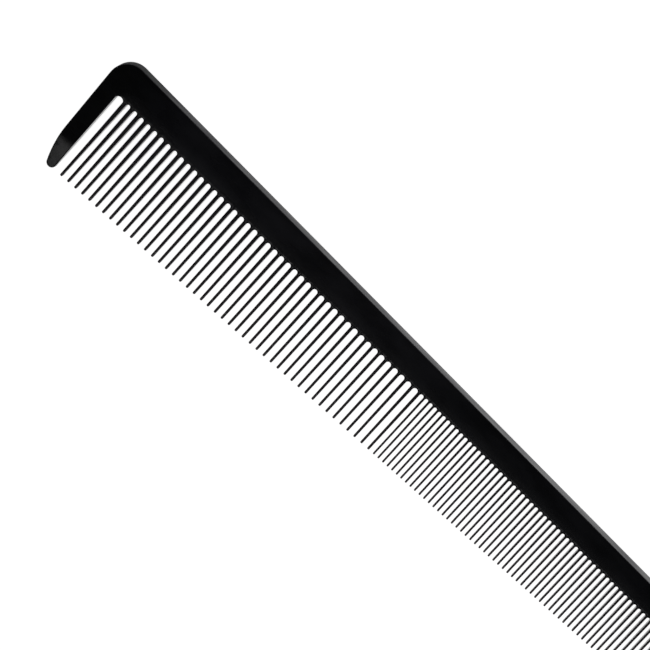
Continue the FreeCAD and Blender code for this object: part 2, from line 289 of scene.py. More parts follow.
def heel_outer_x(y):
    """X of the heel guard tooth's outer side. Its root width is that at HEEL_WIDTH_Y."""
    share = (y - HEEL_WIDTH_Y) / (-HEEL_TIP_DEPTH - HEEL_WIDTH_Y)
    return heel_inner_x(y) + mix(HEEL_ROOT_WIDTH, HEEL_TIP_WIDTH, share)


def spread(start, end, step):
    """Values from start to end, without end, about a step apart."""
    count = max(1, round(abs(end - start) / step))
    return [mix(start, end, i / count) for i in range(count)]


def arc_points(centre, radius, start, end, steps):
    """Points of an arc between two angles, in radians, without the last."""
    points = []
    for i in range(steps):
        angle = mix(start, end, i / steps)
        points.append((centre[0] + radius * math.cos(angle), centre[1] + radius * math.sin(angle)))
    return points


def front_corner():
    """The back edge from the neck to the front, and the round front corner."""
    stations = [Station(x, 0, EDGE_ROUND) for x in spread(NECK_START_X, CORNER_RADIUS, BACK_STEP)]
    centre = (CORNER_RADIUS, -CORNER_RADIUS)
    for x, y in arc_points(centre, CORNER_RADIUS, math.pi / 2, math.pi + FRONT_OUTER_LEAN, CORNER_STEPS):
        stations.append(Station(x, y, EDGE_ROUND))
    return stations


def front_bend():
    """The arc that bends the front side into the round tip: its centre and radius, and the tip's centre."""
    tip_y = FRONT_TIP_RADIUS - FRONT_TIP_DEPTH
    tip = Vector((front_inner_x(tip_y) - FRONT_TIP_RADIUS / math.cos(FRONT_INNER_LEAN), tip_y))
    start = Vector((front_outer_x(FRONT_BEND_Y), FRONT_BEND_Y))
    inward = Vector((math.cos(FRONT_OUTER_LEAN), math.sin(FRONT_OUTER_LEAN)))
    reach = 2 * ((start - tip).dot(inward) + FRONT_TIP_RADIUS)
    radius = (FRONT_TIP_RADIUS ** 2 - (start - tip).length_squared) / reach
    return start + inward * radius, radius, tip


bend_centre, bend_radius, front_tip = front_bend()


def front_side_x(y):
    """X of the front side, straight above the bend and round below it."""
    if y > FRONT_BEND_Y:
        return front_outer_x(y)
    return bend_centre.x - math.sqrt(bend_radius ** 2 - (y - bend_centre.y) ** 2)


def front_guard():
    """The front side, its bend into the round tip, and the inner side."""
    points = [(front_outer_x(y), y) for y in spread(CORNER_END_Y, FRONT_BEND_Y, GUARD_STEP)]
    contact = front_tip - bend_centre
    contact_angle = math.atan2(contact.y, contact.x) + 2 * math.pi
    start_angle = math.pi + FRONT_OUTER_LEAN
    points += arc_points(bend_centre, bend_radius, start_angle, contact_angle, GUARD_TIP_STEPS)
    inner_angle = 2 * math.pi + FRONT_INNER_LEAN
    points += arc_points(front_tip, FRONT_TIP_RADIUS, contact_angle, inner_angle, GUARD_TIP_STEPS)
    stations = [Station(x, y, EDGE_ROUND, "front") for x, y in points]
    inner_start_y = front_tip.y + FRONT_TIP_RADIUS * math.sin(FRONT_INNER_LEAN)
    for y in spread(inner_start_y, FRONT_ROOT_Y, GUARD_STEP):
        stations.append(Station(front_inner_x(y), y, EDGE_ROUND, "front_inner"))
    return stations


def gullet(left, right, inset_left, inset_right, top_y=None):
    """The round end of a gap, from its front side to its heel side: a half circle unless its top is given."""
    middle = (left + right) / 2
    half = (right - left) / 2
    rise = half.length if top_y is None else top_y - middle.y
    radius = (half.length_squared + rise ** 2) / (2 * rise)
    along = half.normalized()
    up = Vector((-along.y, along.x))
    centre = middle + up * (rise - radius)
    half_angle = math.asin(min(1.0, half.length / radius))
    stations = []
    for i in range(GULLET_STEPS):
        share = i / GULLET_STEPS
        angle = mix(-half_angle, half_angle, share)
        place = centre + (up * math.cos(angle) + along * math.sin(angle)) * radius
        stations.append(Station(place.x, place.y, mix(inset_left, inset_right, share), "gullet"))
    return stations


def tooth_sides(tooth):
    """A tooth's front side, round tip and heel side."""
    ys = [mix(tooth.root_y, tooth.shoulder_y, i / TOOTH_ROWS) for i in range(TOOTH_ROWS + 1)]
    stations = []
    for y in ys[:-1]:
        half = tooth.width(y) / 2
        stations.append(Station(tooth.x(y) - half, y, 2 * half * INSET_SHARE, "tooth", tooth))
    radius = tooth.tip_width / 2
    for i in range(TOOTH_TIP_STEPS + 1):
        angle = math.pi * (1 + i / TOOTH_TIP_STEPS)
        x = tooth.x(tooth.shoulder_y) + radius * math.cos(angle)
        y = tooth.shoulder_y + radius * math.sin(angle)
        stations.append(Station(x, y, tooth.tip_width * INSET_SHARE, "tooth", tooth))
    for y in reversed(ys[:-1]):
        half = tooth.width(y) / 2
        stations.append(Station(tooth.x(y) + half, y, 2 * half * INSET_SHARE, "tooth", tooth))
    return stations


def heel_guard(root_y):
    """The heel guard's inner side, round tip, outer side and the hollow round up to the neck."""
    tip_radius = HEEL_TIP_WIDTH / 2
    shoulder_y = tip_radius - HEEL_TIP_DEPTH
    inner_ys = spread(root_y, shoulder_y, GUARD_STEP)
    stations = [Station(heel_inner_x(y), y, EDGE_ROUND, "heel_inner") for y in inner_ys]
    centre = ((heel_inner_x(shoulder_y) + heel_outer_x(shoulder_y)) / 2, shoulder_y)
    points = arc_points(centre, tip_radius, math.pi, 2 * math.pi, GUARD_TIP_STEPS)
    lean = math.atan(heel_outer_x(0) - heel_outer_x(-1))
    fillet_y = NECK_Y - HEEL_FILLET * (1 - math.sin(lean))
    points += [(heel_outer_x(y), y) for y in spread(shoulder_y, fillet_y, GUARD_STEP)]
    fillet_centre = (heel_outer_x(fillet_y) + HEEL_FILLET * math.cos(lean), NECK_Y - HEEL_FILLET)
    points += arc_points(fillet_centre, HEEL_FILLET, math.pi - lean, math.pi / 2, FILLET_STEPS)
    stations += [Station(x, y, EDGE_ROUND, "heel") for x, y in points]
    for x in spread(fillet_centre[0], NECK_START_X, GUARD_STEP / 2):
        stations.append(Station(x, NECK_Y, EDGE_ROUND))
    stations.append(Station(NECK_START_X, NECK_Y, EDGE_ROUND))
    return stations


def make_outline():
    """All stations, from the back edge at the neck round the front and the teeth to the neck's underside."""
    stations = front_corner() + front_guard()
    left = Vector((front_inner_x(FRONT_ROOT_Y), FRONT_ROOT_Y))
    left_inset = EDGE_ROUND
    top_y = -FIRST_GAP_DEPTH
    for tooth in teeth:
        sides = tooth_sides(tooth)
        right = Vector((sides[0].x, sides[0].y))
        stations += gullet(left, right, left_inset, sides[0].inset, top_y) + sides
        left = Vector((sides[-1].x, sides[-1].y))
        left_inset = sides[-1].inset
        top_y = None
    heel_root_y = teeth[-1].root_y
    right = Vector((heel_inner_x(heel_root_y), heel_root_y))
    stations += gullet(left, right, left_inset, EDGE_ROUND)
    stations += heel_guard(heel_root_y)
    return stations


# ---------------------------------------------------------------- the head's thickness

def guard_half_thickness(y, tip_depth):
    """Full down to the bend, then evenly thinner to the tip."""
    bend_y = GUARD_THINNING_LENGTH - tip_depth
    share = max(0.0, (bend_y - y) / GUARD_THINNING_LENGTH)
    return mix(HALF_THICKNESS, GUARD_TIP_HALF_THICKNESS, share)


def spine_half_thickness(x, y):
    """The spine is flat and thins a little towards the roots of the teeth, but not beside the guards."""
    blend_start = gullet_y(x) + ROOT_SLOPE_ABOVE_GULLET
    root = smooth((blend_start - y) / (ROOT_SLOPE_ABOVE_GULLET + ROOT_SLOPE_BELOW_GULLET))
    from_front = smooth((x - FRONT_INNER_ROOT_X) / ROOT_SLOPE_FROM_FRONT)
    from_heel = smooth((heel_inner_x(y) - x) / ROOT_SLOPE_FROM_HEEL)
    return HALF_THICKNESS - (HALF_THICKNESS - ROOT_HALF_THICKNESS) * root * from_front * from_heel


def half_thickness(station, x, y):
    """Half the thickness at the foot of a station's edge round."""
    if station.kind == "tooth":
        return station.tooth.half_thickness(y)
    if station.kind.startswith("front"):
        return guard_half_thickness(y, FRONT_TIP_DEPTH)
    if station.kind.startswith("heel"):
        return guard_half_thickness(y, HEEL_TIP_DEPTH)
    return spine_half_thickness(x, y)


# ---------------------------------------------------------------- the head's mesh

def outward_normals(stations):
    """The outline's outward direction at each station, square to the two sides that meet there."""
    normals = []
    for i, here in enumerate(stations):
        before = stations[max(0, i - 1)]
        after = stations[min(len(stations) - 1, i + 1)]
        sides = []
        for a, b in ((before, here), (here, after)):
            side = Vector((b.y - a.y, a.x - b.x))
            if side.length > SAME_PLACE:
                sides.append(side.normalized())
        normals.append(sum(sides, Vector((0, 0))).normalized())
    return normals


def wall_levels(inset, depth, half):
    """The edge seen from the side: (distance inside the outline, Z) from the top face to the bottom face.

    It is a quarter round, a wall that comes out a little towards the middle, and the parting ridge.
    """
    levels = []
    for step in range(EDGE_STEPS + 1):
        angle = step * math.pi / (2 * EDGE_STEPS)
        inside = WALL_DRAFT + (inset - WALL_DRAFT) * (1 - math.sin(angle))
        levels.append((inside, half - depth * (1 - math.cos(angle))))
    levels.append((PARTING_HEIGHT, PARTING_HALF_WIDTH))
    below = [(inside, -z) for inside, z in reversed(levels)]
    return levels + [(0.0, 0.0)] + below


# Points inside the flat faces that carry their gentle shaping, in millimetres. Rows above the gullets are
# given as their share of the slope's height and their step along X. They keep a margin from the guards and
# a clearance from the gullets.
ROOT_ROWS = ((0.10, 0.55), (0.35, 0.7), (0.65, 0.9), (1.0, 1.1))
ROOT_ROWS_MARGIN = 0.5
ROOT_ROWS_CLEARANCE = 0.25
BACK_ROW_DEPTH = 1.2
FRONT_MIDDLE_TOP_Y = -2.5
HEEL_MIDDLE_TOP_Y = -4.5
HEEL_MIDDLE_END_GAP = 1.4


def inner_points():
    """The points inside the flat faces, over the gullets, along the back and down the guards."""
    points = []
    for share, step in ROOT_ROWS:
        x = FRONT_INNER_ROOT_X + ROOT_ROWS_MARGIN
        height = ROOT_ROWS_CLEARANCE + share * ROOT_SLOPE_ABOVE_GULLET
        while x < heel_inner_x(HEEL_WIDTH_Y) - ROOT_ROWS_MARGIN:
            points.append((x, gullet_y(x) + height))
            x += step
    for x in spread(CORNER_RADIUS, NECK_START_X, BACK_STEP)[1:]:
        points.append((x, -BACK_ROW_DEPTH))
    for y in spread(FRONT_MIDDLE_TOP_Y, front_tip.y, GUARD_STEP)[1:]:
        points.append(((front_side_x(y) + front_inner_x(y)) / 2, y))
    for y in spread(HEEL_MIDDLE_TOP_Y, HEEL_MIDDLE_END_GAP - HEEL_TIP_DEPTH, GUARD_STEP)[1:]:
        points.append(((heel_inner_x(y) + heel_outer_x(y)) / 2, y))
    return points


def face_half_thickness(place):
    """Half the thickness at a point inside the flat faces."""
    if place.x < front_inner_x(place.y) and place.y < FRONT_ROOT_Y:
        return guard_half_thickness(place.y, FRONT_TIP_DEPTH)
    if place.x > heel_inner_x(place.y) and place.y < teeth[-1].root_y:
        return guard_half_thickness(place.y, HEEL_TIP_DEPTH)
    return spine_half_thickness(place.x, place.y)


def make_walls(bm, stations):
    """The head's sides: a column of vertices at each station, and where its edge round meets the faces."""
    polish = bm.verts.layers.float.new("polish")
    # Per vertex, how much painted light makes the teeth paler
    painted_tooth_light = bm.verts.layers.float.new("painted_tooth_light")
    columns = []
    rim = []
    for station, normal in zip(stations, outward_normals(stations)):
        rim_x = station.x - normal.x * station.inset
        rim_y = station.y - normal.y * station.inset
        half = half_thickness(station, rim_x, rim_y)
        depth = TOOTH_EDGE_DEPTH if station.kind == "tooth" else EDGE_ROUND
        column = []
        for inside, z in wall_levels(station.inset, depth, half):
            vert = bm.verts.new(to_frame(station.x - normal.x * inside, station.y - normal.y * inside, z))
            vert[polish] = station.polish
            vert[painted_tooth_light] = station.painted_tooth_light
            column.append(vert)
        columns.append(column)
        rim.append(Vector((rim_x, rim_y)))
    for left, right in zip(columns, columns[1:]):
        for i in range(len(left) - 1):
            bm.faces.new((left[i], left[i + 1], right[i + 1], right[i]))
    return columns, rim


def triangulate(boundary):
    """Flat triangles inside a closed boundary, with the inner points: places, their sources, and faces."""
    places = boundary + [Vector(point) for point in inner_points()]
    loop = list(range(len(boundary)))
    found = geometry.delaunay_2d_cdt(places, [], [loop], 0, SAME_POINT, True)
    faces = [face for face, inside in zip(found[2], found[5]) if inside]
    sources = [origin[0] if origin else None for origin in found[3]]
    return found[0], sources, faces


def make_flat_faces(bm, columns, rim):
    """The top and the bottom face, and their vertices across the open neck end, from the back edge on."""
    steps = range(1, NECK_FACE_STEPS)
    boundary = rim + [rim[-1].lerp(rim[0], i / NECK_FACE_STEPS) for i in steps]
    places, sources, faces = triangulate(boundary)
    top, bottom = [], []
    across = []
    for place, source in zip(places, sources):
        if source is not None and source < len(rim):
            top.append(columns[source][0])
            bottom.append(columns[source][-1])
            continue
        half = face_half_thickness(place)
        top.append(bm.verts.new(to_frame(place.x, place.y, half)))
        bottom.append(bm.verts.new(to_frame(place.x, place.y, -half)))
        if source is not None and source < len(boundary):
            across.append((-place.y, top[-1], bottom[-1]))
    for face in faces:
        bm.faces.new([top[i] for i in face])
        bm.faces.new([bottom[i] for i in reversed(face)])
    across.sort(key=lambda item: item[0])
    return [item[1] for item in across], [item[2] for item in across]


def make_head():
    """The whole moulding in one closed skin: spine, guards, teeth, neck and nose."""
    bm = bmesh.new()
    columns, rim = make_walls(bm, make_outline())
    across_top, across_bottom = make_flat_faces(bm, columns, rim)
    triangles = [face for face in bm.faces if len(face.verts) == 3]
    bmesh.ops.join_triangles(
        bm, faces=triangles, angle_face_threshold=QUAD_ANGLE, angle_shape_threshold=QUAD_SHAPE)
    open_end = columns[0] + across_bottom + columns[-1][::-1] + across_top[::-1]
    add_neck(bm, open_end)
    bmesh.ops.recalc_face_normals(bm, faces=bm.faces)
    return new_piece("comb_head", bm)


def add_neck(bm, loop):
    """Rings that turn the head's open end into a round neck, and the thinner nose that the ferrule holds."""
    axis = Vector((0, AXIS_Y, MIDDLE_Z))
    spokes = []
    for vert in loop:
        spoke = Vector((0, vert.co.y - axis.y, vert.co.z - axis.z))
        spokes.append((spoke.length, spoke.normalized()))
    rings = []
    for i in range(1, NECK_RINGS + 1):
        t = i / NECK_RINGS
        rings.append((mix(NECK_START_X, FERRULE_START_X, t), smooth(t), NECK_END_RADIUS))
    rings.append((FERRULE_START_X, 1.0, NOSE_RADIUS))
    rings.append((FERRULE_START_X + NOSE_DEPTH, 1.0, NOSE_RADIUS))
    previous = loop
    for x, roundness, radius in rings:
        ring = []
        for length, direction in spokes:
            place = axis + direction * mix(length, radius * MM, roundness)
            place.x = FRONT_X + x * MM
            ring.append(bm.verts.new(place))
        bridge(bm, previous, ring)
        previous = ring
    bm.faces.new(previous)


def bridge(bm, first, second):
    """Quads between two closed rings with the same number of points."""
    count = len(first)
    for i in range(count):
        j = (i + 1) % count
        bm.faces.new((first[i], first[j], second[j], second[i]))


def new_piece(name, bm):
    """A smooth shaded piece from a bmesh. Large faces stay flat, as their normals weigh most."""
    mesh = bpy.data.meshes.new(name)
    bm.to_mesh(mesh)
    bm.free()
    for polygon in mesh.polygons:
        polygon.use_smooth = True
    piece = bpy.data.objects.new(name, mesh)
    bpy.context.scene.collection.objects.link(piece)
    piece.modifiers.new("face_weighted_normals", "WEIGHTED_NORMAL")
    return piece


# ---------------------------------------------------------------- turned pieces: ferrule and tail pin

TURNED_SEGMENTS = 64
QUARTER_STEPS = 5

# Ferrule. The grooves' places are shares of its length.
FERRULE_RADIUS = 2.0
FERRULE_BORE = 1.02
FERRULE_EDGE = 0.18
NOSE_CLEARANCE = 0.02
BORE_CHAMFER_WIDTH = 0.12
BORE_CHAMFER_DEPTH = 0.1
GROOVE_RADIUS_LOSS = 0.09
GROOVE_WIDTH = 0.42
GROOVE_PLACES = (0.24, 0.76)
GROOVE_STEPS = 8

# Tail pin. Its shoulder is a chamfer between the grip and the cylinder, with a ring close on either side.
PIN_GRIP_RADIUS = 1.0
PIN_RADIUS = 1.2
PIN_POINT_RADIUS = 0.7
PIN_HIDDEN_LENGTH = 2.0
PIN_SHOULDER_GAP = 1.0
PIN_SHOULDER_STEP = 0.02
PIN_SHOULDER_CHAMFER = 0.05
PIN_RING_BEFORE_SHOULDER = 0.08
PIN_RING_AFTER_SHOULDER = 0.15
PIN_CYLINDER_LENGTH = 57.0
PIN_CYLINDER_RINGS_START = 3
PIN_CYLINDER_RINGS_STEP = 6
PIN_TAPER_LENGTH = 38.8
PIN_TAPER_STEPS = 12
PIN_TAPER_EVENNESS = 0.75
PIN_POINT_STEPS = 8
PIN_POINT_END_ANGLE = 3


def turned_piece(name, profile, closed_profile):
    """A piece turned about the tail's axis from (x, radius) points in millimetres of the head's drawing."""
    bm = bmesh.new()
    rings = []
    for x, radius in profile:
        ring = []
        for i in range(TURNED_SEGMENTS):
            angle = 2 * math.pi * i / TURNED_SEGMENTS
            y = AXIS_Y + radius * MM * math.cos(angle)
            z = MIDDLE_Z + radius * MM * math.sin(angle)
            ring.append(bm.verts.new((FRONT_X + x * MM, y, z)))
        rings.append(ring)
    for first, second in zip(rings, rings[1:]):
        bridge(bm, first, second)
    if closed_profile:
        bridge(bm, rings[-1], rings[0])
    else:
        bm.faces.new(rings[0])
        bm.faces.new(rings[-1])
    bmesh.ops.recalc_face_normals(bm, faces=bm.faces)
    return new_piece(name, bm)


def quarter_round(centre, radius, start):
    """Points of a quarter circle in (x, radius) from an angle in degrees, turning clockwise."""
    points = []
    for i in range(QUARTER_STEPS + 1):
        angle = math.radians(start - 90 * i / QUARTER_STEPS)
        points.append((centre[0] + radius * math.cos(angle), centre[1] + radius * math.sin(angle)))
    return points


def make_ferrule():
    """A thin collar with rounded rims and two rolled grooves."""
    start = FERRULE_START_X
    end = FERRULE_END_X
    mouth = NOSE_RADIUS + NOSE_CLEARANCE
    profile = [(start + NOSE_DEPTH, mouth), (start, mouth)]
    rim = FERRULE_RADIUS - FERRULE_EDGE
    profile += quarter_round((start + FERRULE_EDGE, rim), FERRULE_EDGE, 180)
    for place in GROOVE_PLACES:
        middle = mix(start, end, place)
        for i in range(GROOVE_STEPS + 1):
            t = i / GROOVE_STEPS
            dip = GROOVE_RADIUS_LOSS * math.sin(math.pi * t) ** 2
            profile.append((middle + (t - 0.5) * GROOVE_WIDTH, FERRULE_RADIUS - dip))
    profile += quarter_round((end - FERRULE_EDGE, rim), FERRULE_EDGE, 90)
    profile += [(end, FERRULE_BORE + BORE_CHAMFER_WIDTH), (end - BORE_CHAMFER_DEPTH, FERRULE_BORE)]
    profile.append((start + NOSE_DEPTH, FERRULE_BORE))
    return turned_piece("ferrule_collar", profile, True)


def make_tail():
    """The ground steel pin: the end of its grip, shoulder, cylinder, taper and round point."""
    shoulder = FERRULE_END_X + PIN_SHOULDER_GAP
    taper = shoulder + PIN_CYLINDER_LENGTH
    point = taper + PIN_TAPER_LENGTH
    profile = [
        (FERRULE_END_X - PIN_HIDDEN_LENGTH, PIN_GRIP_RADIUS),
        (shoulder - PIN_RING_BEFORE_SHOULDER, PIN_GRIP_RADIUS),
        (shoulder - PIN_SHOULDER_STEP, PIN_GRIP_RADIUS),
        (shoulder, PIN_RADIUS - PIN_SHOULDER_CHAMFER),
        (shoulder + PIN_SHOULDER_CHAMFER, PIN_RADIUS),
        (shoulder + PIN_RING_AFTER_SHOULDER, PIN_RADIUS),
    ]
    rings = spread(shoulder + PIN_CYLINDER_RINGS_START, taper, PIN_CYLINDER_RINGS_STEP)
    profile += [(x, PIN_RADIUS) for x in rings]
    for i in range(PIN_TAPER_STEPS + 1):
        t = i / PIN_TAPER_STEPS
        eased = mix(t * t, t, PIN_TAPER_EVENNESS)
        profile.append((mix(taper, point, t), mix(PIN_RADIUS, PIN_POINT_RADIUS, eased)))
    for i in range(1, PIN_POINT_STEPS + 1):
        angle = math.radians(90 - (90 - PIN_POINT_END_ANGLE) * i / PIN_POINT_STEPS)
        profile.append((point + PIN_POINT_RADIUS * math.cos(angle), PIN_POINT_RADIUS * math.sin(angle)))
    return turned_piece("tail_rod", profile, False)


# ---------------------------------------------------------------- materials

# Noise scales, per metre along X, Y and Z
GRAIN_SCALE = (9000, 9000, 9000)
DRAG_SCALE = (250, 9000, 4000)
CLOUD_SCALE = (120, 240, 240)
RING_SCALE_ACROSS = 120
STEEL_DULL_SCALE = (160, 300, 300)
FLOOR_SCALE = (6, 6, 6)

# Depths of the bumps, in metres
PLASTIC_BUMP = 0.00002
STEEL_BUMP = 0.00001

# Stops of the ramps: (position, value). Those along the head run from its front to the ferrule.
# Base colour along the head: black with a little blue, with painted light that makes it darkest at the front
# and palest near the middle
HEAD_TONES_WITH_PAINTED_LIGHT = [
    (0.03, (0.0055, 0.0055, 0.0070)),
    (0.10, (0.0195, 0.0195, 0.0250)),
    (0.38, (0.0270, 0.0262, 0.0320)),
    (0.55, (0.0200, 0.0200, 0.0245)),
    (0.92, (0.0135, 0.0135, 0.0170)),
]
# Painted light on the teeth: paler tones, paler still towards the heel
PAINTED_TOOTH_LIGHT_TONES = [
    (0.03, (0.042, 0.036, 0.041)),
    (0.30, (0.066, 0.056, 0.061)),
    (0.55, (0.090, 0.077, 0.083)),
    (0.92, (0.090, 0.076, 0.083)),
]
SIDE_ROUGHNESS = [(0.03, 0.85), (0.10, 0.62), (0.42, 0.46), (0.7, 0.38), (0.9, 0.45)]
HAZE = [(0.3, 0.55), (0.7, 1.15)]
WORN_EDGES = [(0.50, 0.0), (0.62, 1.0)]
FACE_SLOPES = [(0.35, 0.0), (0.85, 1.0)]
UNEVEN_SHEEN = [(0.3, 0.80), (0.7, 1.20)]
FLOOR_TONES = [(0.3, 0.86), (0.7, 0.88)]

FACE_ROUGHNESS = 0.28
GAP_SIDE_ROUGHNESS = 0.22
EDGE_TONE = (0.020, 0.020, 0.022, 1.0)
PLASTIC_SPECULAR = 0.20
RING_SHADE = 0.88
DULL_ZONE_ROUGHNESS = 0.12
FLOOR_ROUGHNESS = 0.7
FLOOR_SPECULAR = 0.1
FLOOR_GLOW = 0.97
WHITE = (1.0, 1.0, 1.0, 1.0)


def new_material(name):
    """A new material, its nodes, its links and its shader."""
    material = bpy.data.materials.new(name)
    material.use_nodes = True
    nodes = material.node_tree.nodes
    return material, nodes, material.node_tree.links, nodes["Principled BSDF"]


def add(nodes, kind, **values):
    """A node with its sockets and settings given by name."""
    node = nodes.new(kind)
    for name, value in values.items():
        if name in node.inputs:
            node.inputs[name].default_value = value
        else:
            setattr(node, name, value)
    return node


def scaled_noise(nodes, links, coordinates, scale, detail, roughness):
    """Noise over the object's own coordinates. scale is per metre along X, Y and Z."""
    mapping = add(nodes, "ShaderNodeMapping")
    mapping.inputs["Scale"].default_value = scale
    links.new(coordinates.outputs["Object"], mapping.inputs["Vector"])
    texture = add(nodes, "ShaderNodeTexNoise", Scale=1.0, Detail=detail, Roughness=roughness)
    links.new(mapping.outputs["Vector"], texture.inputs["Vector"])
    return texture


def grey(value):
    """A single value as a colour."""
    return (value, value, value, 1.0)


def ramp(nodes, links, source, stops):
    """A colour ramp from (position, single value or colour) stops."""
    node = nodes.new("ShaderNodeValToRGB")
    elements = node.color_ramp.elements
    while len(elements) < len(stops):
        elements.new(0.5)
    for element, (position, value) in zip(elements, stops):
        element.position = position
        element.color = grey(value) if isinstance(value, float) else (*value, 1.0)
    links.new(source, node.inputs["Fac"])
    return node


def blend_colours(nodes, links, factor, first, second, blend_type="MIX"):
    """A mix of two colours, each an output or a fixed colour."""
    node = add(nodes, "ShaderNodeMix", data_type="RGBA", blend_type=blend_type)
    for name, value in (("Factor", factor), ("A", first), ("B", second)):
        if isinstance(value, bpy.types.NodeSocket):
            links.new(value, node.inputs[name])
        else:
            node.inputs[name].default_value = value
    return node.outputs["Result"]


def head_tone_with_painted_light(nodes, links, along, cloud):
    """Black, a little blue and cloudy, paler at worn edges. Painted light makes it paler in the middle of the
    head than at its ends, and paler on the teeth.
    """
    # Painted light along the head: paler in the middle, darkest at the front
    tone = ramp(nodes, links, along, HEAD_TONES_WITH_PAINTED_LIGHT)
    haze = ramp(nodes, links, cloud, HAZE)
    hazy = blend_colours(nodes, links, 1.0, tone.outputs["Color"], haze.outputs["Color"], "MULTIPLY")
    surface = add(nodes, "ShaderNodeNewGeometry")
    worn = ramp(nodes, links, surface.outputs["Pointiness"], WORN_EDGES)
    edged = blend_colours(nodes, links, worn.outputs["Color"], hazy, EDGE_TONE)
    # Painted light on the teeth, mixed in from their roots to their tips
    painted_tooth_light = add(nodes, "ShaderNodeAttribute", attribute_name="painted_tooth_light")
    painted_tooth_tone = ramp(nodes, links, along, PAINTED_TOOTH_LIGHT_TONES)
    return blend_colours(nodes, links, painted_tooth_light.outputs["Fac"], edged, painted_tooth_tone.outputs["Color"])


def head_roughness(nodes, links, coordinates, along, cloud):
    """The flat faces and the gaps' sides are polished. The outer sides are duller, most of all in front."""
    side = ramp(nodes, links, along, SIDE_ROUGHNESS)
    polish = add(nodes, "ShaderNodeAttribute", attribute_name="polish")
    sides = blend_colours(
        nodes, links, polish.outputs["Fac"], side.outputs["Color"], grey(GAP_SIDE_ROUGHNESS))
    normal = add(nodes, "ShaderNodeSeparateXYZ")
    links.new(coordinates.outputs["Normal"], normal.inputs["Vector"])
    upright = add(nodes, "ShaderNodeMath", operation="ABSOLUTE")
    links.new(normal.outputs["Z"], upright.inputs[0])
    is_face = ramp(nodes, links, upright.outputs["Value"], FACE_SLOPES)
    finish = blend_colours(nodes, links, is_face.outputs["Color"], sides, grey(FACE_ROUGHNESS))
    uneven = ramp(nodes, links, cloud, UNEVEN_SHEEN)
    sheen = add(nodes, "ShaderNodeMath", operation="MULTIPLY")
    links.new(finish, sheen.inputs[0])
    links.new(uneven.outputs["Color"], sheen.inputs[1])
    return sheen.outputs["Value"]


def head_plastic():
    """Carbon-filled plastic with a fine grain and faint drag lines along the comb."""
    material, nodes, links, shader = new_material("head_plastic")
    coordinates = add(nodes, "ShaderNodeTexCoord")
    grain = scaled_noise(nodes, links, coordinates, GRAIN_SCALE, detail=3.0, roughness=0.6)
    drag = scaled_noise(nodes, links, coordinates, DRAG_SCALE, detail=2.0, roughness=0.5)
    cloud = scaled_noise(nodes, links, coordinates, CLOUD_SCALE, detail=4.0, roughness=0.55)
    split = add(nodes, "ShaderNodeSeparateXYZ")
    links.new(coordinates.outputs["Object"], split.inputs["Vector"])
    along = add(nodes, "ShaderNodeMapRange")
    along.inputs["From Min"].default_value = FRONT_X
    along.inputs["From Max"].default_value = FRONT_X + FERRULE_START_X * MM
    links.new(split.outputs["X"], along.inputs["Value"])

    tone = head_tone_with_painted_light(nodes, links, along.outputs["Result"], cloud.outputs["Fac"])
    links.new(tone, shader.inputs["Base Color"])
    roughness = head_roughness(nodes, links, coordinates, along.outputs["Result"], cloud.outputs["Fac"])
    links.new(roughness, shader.inputs["Roughness"])

    fine = add(nodes, "ShaderNodeBump", Strength=0.35, Distance=PLASTIC_BUMP)
    links.new(grain.outputs["Fac"], fine.inputs["Height"])
    lines = add(nodes, "ShaderNodeBump", Strength=0.25, Distance=PLASTIC_BUMP)
    links.new(drag.outputs["Fac"], lines.inputs["Height"])
    links.new(fine.outputs["Normal"], lines.inputs["Normal"])
    links.new(lines.outputs["Normal"], shader.inputs["Normal"])
    shader.inputs["Specular IOR Level"].default_value = PLASTIC_SPECULAR
    return material


def ground_steel(name, colour, roughness, ring_scale, ring_strength):
    """Stainless steel turned or ground round the tail's axis: fine rings along X, with a few duller zones."""
    material, nodes, links, shader = new_material(name)
    coordinates = add(nodes, "ShaderNodeTexCoord")
    ring_scales = (ring_scale, RING_SCALE_ACROSS, RING_SCALE_ACROSS)
    rings = scaled_noise(nodes, links, coordinates, ring_scales, detail=4.0, roughness=0.6)
    dull = scaled_noise(nodes, links, coordinates, STEEL_DULL_SCALE, detail=3.0, roughness=0.5)
    shade = tuple(part * RING_SHADE for part in colour)
    tone = ramp(nodes, links, rings.outputs["Fac"], [(0.3, shade), (0.7, colour)])
    links.new(tone.outputs["Color"], shader.inputs["Base Color"])
    duller = roughness + DULL_ZONE_ROUGHNESS
    finish = ramp(nodes, links, dull.outputs["Fac"], [(0.35, roughness), (0.7, duller)])
    links.new(finish.outputs["Color"], shader.inputs["Roughness"])
    bump = add(nodes, "ShaderNodeBump", Strength=ring_strength, Distance=STEEL_BUMP)
    links.new(rings.outputs["Fac"], bump.inputs["Height"])
    links.new(bump.outputs["Normal"], shader.inputs["Normal"])
    shader.inputs["Metallic"].default_value = 1.0
    return material


def pale_floor():
    """A plain white surface that glows as a light table does, so that the gaps stay white."""
    material, nodes, links, shader = new_material("pale_floor")
    coordinates = add(nodes, "ShaderNodeTexCoord")
    cloud = scaled_noise(nodes, links, coordinates, FLOOR_SCALE, detail=2.0, roughness=0.5)
    tone = ramp(nodes, links, cloud.outputs["Fac"], FLOOR_TONES)
    links.new(tone.outputs["Color"], shader.inputs["Base Color"])
    shader.inputs["Roughness"].default_value = FLOOR_ROUGHNESS
    shader.inputs["Specular IOR Level"].default_value = FLOOR_SPECULAR
    shader.inputs["Emission Color"].default_value = WHITE
    shader.inputs["Emission Strength"].default_value = FLOOR_GLOW
    return material


def dress(piece, material):
    """Give a piece its one material."""
    piece.data.materials.append(material)


# ---------------------------------------------------------------- stage

# Half the floor's side and its drop below the comb, in metres
FLOOR_HALF = 6.0
FLOOR_DROP = 0.00005

# The studio's brightness by the height of the direction: 0 at the horizon, 1 straight up
SKY = [(0.0, 1.0), (0.05, 0.80), (0.14, 0.25), (0.35, 0.06), (0.8, 0.02)]


